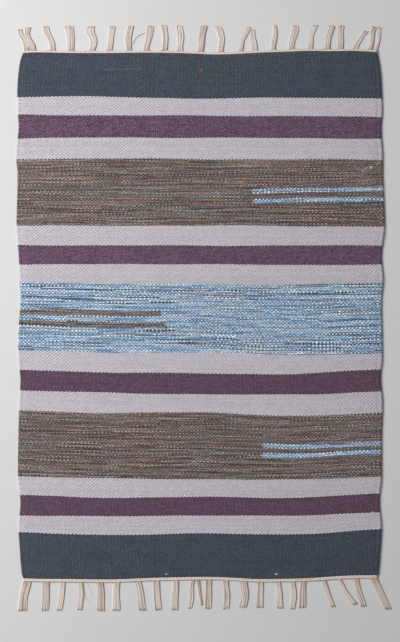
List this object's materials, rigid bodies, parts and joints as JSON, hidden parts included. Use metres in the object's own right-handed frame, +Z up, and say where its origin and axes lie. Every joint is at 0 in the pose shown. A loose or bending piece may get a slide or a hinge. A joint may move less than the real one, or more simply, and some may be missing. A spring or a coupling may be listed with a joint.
{
  "type": "flat-woven kilim rug",
  "caption": "Small rectangular flat-woven rug lying flat, banded across its width, with part-width stripes and a tasselled warp fringe at both ends.",
  "frame": {"origin": "middle of the whole rug's outline, fringe included, on the floor under it", "axes": "+X across the rug to its right side, +Y along it to its far end, +Z up from the floor"},
  "size_m": [0.6184, 0.9676, 0.0046],
  "materials": {
    "grey_cotton": "matt weft-faced weave, pale lilac grey cotton",
    "slate_cotton": "matt weft-faced weave, slate blue-grey cotton",
    "plum_cotton": "matt weft-faced weave, dusty plum cotton",
    "brown_melange": "matt weft-faced weave, melange of brown, beige and dark grey yarns",
    "blue_melange": "matt weft-faced weave, melange of sky blue, white and near-black yarns",
    "cream_yarn": "matt undyed twisted cotton warp yarn"
  },
  "bodies": {
    "root": {"rug": "grey_cotton", "fringe_top": "cream_yarn", "fringe_bottom": "cream_yarn"}
  },
  "joints": []
}
